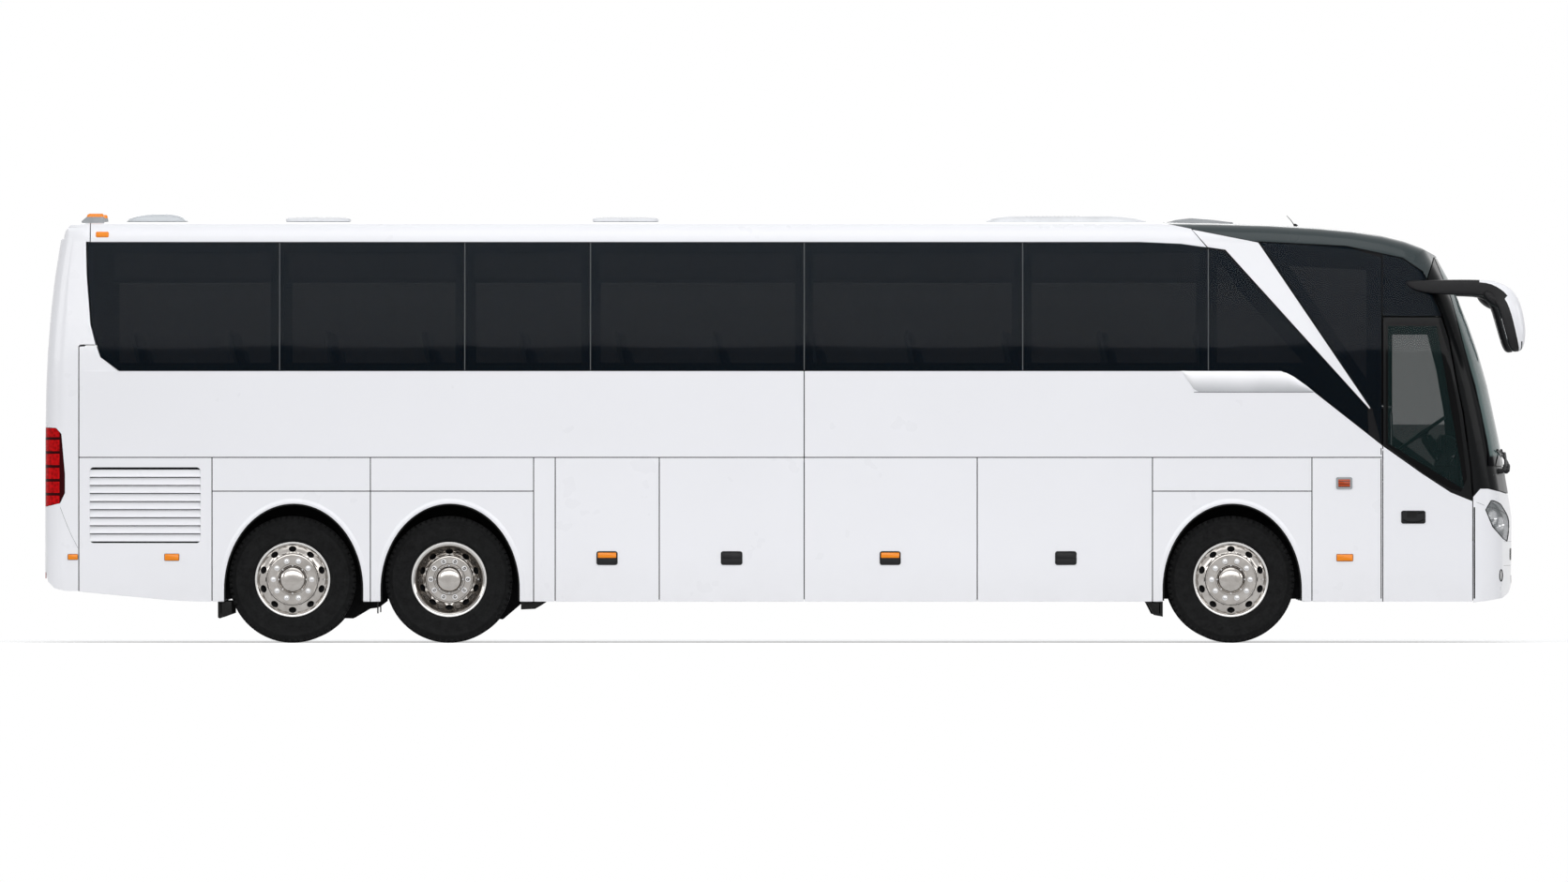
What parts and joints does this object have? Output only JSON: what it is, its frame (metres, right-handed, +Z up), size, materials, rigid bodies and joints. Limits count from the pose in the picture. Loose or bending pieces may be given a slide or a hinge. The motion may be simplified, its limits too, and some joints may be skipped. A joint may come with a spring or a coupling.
{
  "type": "coach bus",
  "caption": "High-deck touring coach with three axles, a swing-out entry door, luggage hold doors under the saloon and dark side glass.",
  "frame": {"origin": "on the ground, at the middle of the overall length and width, with the mirrors counted", "axes": "+X towards the nose, +Y towards the coach's left, +Z up; the passenger door is on the right, -Y"},
  "size_m": [12.5378, 2.976, 3.641],
  "materials": {
    "white_paint": "gloss",
    "black_frame": "satin",
    "dark_glass": "gloss",
    "clear_glass": "gloss",
    "dark_gloss": "gloss",
    "roof_plastic": "matte",
    "lamp_red": "gloss",
    "lamp_clear": "gloss",
    "white_plastic": "gloss",
    "floor_covering": "matte",
    "chassis_paint": "satin",
    "chassis_iron": "matte",
    "engine_iron": "matte",
    "seat_fabric": "matte",
    "dash_plastic": "matte",
    "black_plastic": "matte",
    "tyre_rubber": "matte",
    "wheel_silver": "satin",
    "wheel_polished": "polished"
  },
  "bodies": {
    "coach": {"side_panels": "white_paint", "belt_panels": "white_paint", "window_frame": "black_frame", "window_glass": "dark_glass", "white_blades": "white_paint", "roof_skin": "white_paint", "front_roof_cap": "dark_gloss", "roof_units": "roof_plastic", "rear_cap": "white_paint", "tail_lamps": "lamp_red", "front_mask": "white_paint", "headlamps": "lamp_clear", "windscreen": "clear_glass", "nose_trim": "dark_gloss", "mirrors": "white_plastic", "cabin_floor": "floor_covering", "driver_platform": "floor_covering", "underframe": "chassis_paint", "wheel_housings": "black_plastic", "axles": "chassis_iron", "engine_block": "engine_iron", "passenger_seats": "seat_fabric", "driver_seat": "seat_fabric", "dashboard": "dash_plastic"},
    "wheel_front_right": {"tyre_front_right": "tyre_rubber", "rim_front_right": "wheel_silver"},
    "wheel_front_left": {"tyre_front_left": "tyre_rubber", "rim_front_left": "wheel_silver"},
    "wheel_drive_right": {"tyre_drive_right": "tyre_rubber", "rim_drive_right": "wheel_polished"},
    "wheel_drive_left": {"tyre_drive_left": "tyre_rubber", "rim_drive_left": "wheel_polished"},
    "wheel_tag_right": {"tyre_tag_right": "tyre_rubber", "rim_tag_right": "wheel_silver"},
    "wheel_tag_left": {"tyre_tag_left": "tyre_rubber", "rim_tag_left": "wheel_silver"},
    "knuckle_right": {"knuckle_right": "chassis_iron"},
    "knuckle_left": {"knuckle_left": "chassis_iron"},
    "steering_wheel": {"steering_wheel": "black_plastic"},
    "entry_door_arm": {"entry_door_arm": "chassis_paint"},
    "entry_door": {"entry_door": "white_paint", "entry_door_glass": "clear_glass"},
    "luggage_door_right_1": {"luggage_door_right_1": "white_paint"},
    "luggage_door_right_2": {"luggage_door_right_2": "white_paint"},
    "luggage_door_right_3": {"luggage_door_right_3": "white_paint"},
    "luggage_door_right_4": {"luggage_door_right_4": "white_paint"},
    "radiator_door_right": {"radiator_door_right": "white_paint"},
    "luggage_door_left_1": {"luggage_door_left_1": "white_paint"},
    "luggage_door_left_2": {"luggage_door_left_2": "white_paint"},
    "luggage_door_left_3": {"luggage_door_left_3": "white_paint"},
    "luggage_door_left_4": {"luggage_door_left_4": "white_paint"},
    "radiator_door_left": {"radiator_door_left": "white_paint"},
    "engine_door": {"engine_door": "white_paint"},
    "roof_hatch_rear": {"roof_hatch_rear": "roof_plastic"},
    "roof_hatch_front": {"roof_hatch_front": "roof_plastic"}
  },
  "joints": [
    {"name": "wheel_front_right_spin", "type": "hinge", "parent": "knuckle_right", "child": "wheel_front_right", "pos_m": [3.773, -1.04, 0.538], "axis": [0, 1, 0], "continuous": true},
    {"name": "wheel_front_left_spin", "type": "hinge", "parent": "knuckle_left", "child": "wheel_front_left", "pos_m": [3.773, 1.04, 0.538], "axis": [0, 1, 0], "continuous": true},
    {"name": "wheel_drive_right_spin", "type": "hinge", "parent": "coach", "child": "wheel_drive_right", "pos_m": [-2.849, -0.8825, 0.538], "axis": [0, 1, 0], "continuous": true},
    {"name": "wheel_drive_left_spin", "type": "hinge", "parent": "coach", "child": "wheel_drive_left", "pos_m": [-2.849, 0.8825, 0.538], "axis": [0, 1, 0], "continuous": true},
    {"name": "wheel_tag_right_spin", "type": "hinge", "parent": "coach", "child": "wheel_tag_right", "pos_m": [-4.174, -1.04, 0.538], "axis": [0, 1, 0], "continuous": true},
    {"name": "wheel_tag_left_spin", "type": "hinge", "parent": "coach", "child": "wheel_tag_left", "pos_m": [-4.174, 1.04, 0.538], "axis": [0, 1, 0], "continuous": true},
    {"name": "steer_right", "type": "hinge", "parent": "coach", "child": "knuckle_right", "pos_m": [3.773, -0.915, 0.538], "axis": [0, 0, 1], "range_deg": [-40, 40]},
    {"name": "steer_left", "type": "hinge", "parent": "coach", "child": "knuckle_left", "pos_m": [3.773, 0.915, 0.538], "axis": [0, 0, 1], "range_deg": [-40, 40]},
    {"name": "steering_wheel_turn", "type": "hinge", "parent": "coach", "child": "steering_wheel", "pos_m": [5.42, 0.64, 1.79], "axis": [-0.5736, 0, 0.8192], "range_deg": [-801, 801]},
    {"name": "entry_door_swing", "type": "hinge", "parent": "coach", "child": "entry_door_arm", "pos_m": [5.69, -1.11, 1.3], "axis": [0, 0, 1], "range_deg": [0, 115]},
    {"name": "entry_door_turn", "type": "hinge", "parent": "entry_door_arm", "child": "entry_door", "pos_m": [5.24, -1.11, 1.3], "axis": [0, 0, 1], "range_deg": [-115, 0]},
    {"name": "luggage_door_right_1_lift", "type": "hinge", "parent": "coach", "child": "luggage_door_right_1", "pos_m": [-1.5085, -1.275, 1.568], "axis": [-1, 0, 0], "range_deg": [0, 95]},
    {"name": "luggage_door_right_2_lift", "type": "hinge", "parent": "coach", "child": "luggage_door_right_2", "pos_m": [-0.4545, -1.275, 1.568], "axis": [-1, 0, 0], "range_deg": [0, 95]},
    {"name": "luggage_door_right_3_lift", "type": "hinge", "parent": "coach", "child": "luggage_door_right_3", "pos_m": [0.8915, -1.275, 1.568], "axis": [-1, 0, 0], "range_deg": [0, 95]},
    {"name": "luggage_door_right_4_lift", "type": "hinge", "parent": "coach", "child": "luggage_door_right_4", "pos_m": [2.366, -1.275, 1.568], "axis": [-1, 0, 0], "range_deg": [0, 95]},
    {"name": "radiator_door_right_swing", "type": "hinge", "parent": "coach", "child": "radiator_door_right", "pos_m": [-4.859, -1.275, 0.96], "axis": [0, 0, 1], "range_deg": [0, 100]},
    {"name": "luggage_door_left_1_lift", "type": "hinge", "parent": "coach", "child": "luggage_door_left_1", "pos_m": [-1.5085, 1.275, 1.568], "axis": [1, 0, 0], "range_deg": [0, 95]},
    {"name": "luggage_door_left_2_lift", "type": "hinge", "parent": "coach", "child": "luggage_door_left_2", "pos_m": [-0.4545, 1.275, 1.568], "axis": [1, 0, 0], "range_deg": [0, 95]},
    {"name": "luggage_door_left_3_lift", "type": "hinge", "parent": "coach", "child": "luggage_door_left_3", "pos_m": [0.8915, 1.275, 1.568], "axis": [1, 0, 0], "range_deg": [0, 95]},
    {"name": "luggage_door_left_4_lift", "type": "hinge", "parent": "coach", "child": "luggage_door_left_4", "pos_m": [2.366, 1.275, 1.568], "axis": [1, 0, 0], "range_deg": [0, 95]},
    {"name": "radiator_door_left_swing", "type": "hinge", "parent": "coach", "child": "radiator_door_left", "pos_m": [-4.859, 1.275, 0.96], "axis": [0, 0, -1], "range_deg": [0, 100]},
    {"name": "engine_door_lift", "type": "hinge", "parent": "coach", "child": "engine_door", "pos_m": [-6.27, 0, 1.742], "axis": [0, 1, 0], "range_deg": [0, 85]},
    {"name": "roof_hatch_rear_tilt", "type": "hinge", "parent": "coach", "child": "roof_hatch_rear", "pos_m": [-3.696, 0, 3.5733], "axis": [0, 1, 0], "range_deg": [0, 60]},
    {"name": "roof_hatch_front_tilt", "type": "hinge", "parent": "coach", "child": "roof_hatch_front", "pos_m": [-1.078, 0, 3.5733], "axis": [0, 1, 0], "range_deg": [0, 60]}
  ],
  "couplings": [
    {"joint": "steer_left", "follows": "steer_right", "ratio": 1},
    {"joint": "steering_wheel_turn", "follows": "steer_right", "ratio": 20},
    {"joint": "entry_door_turn", "follows": "entry_door_swing", "ratio": -1}
  ]
}
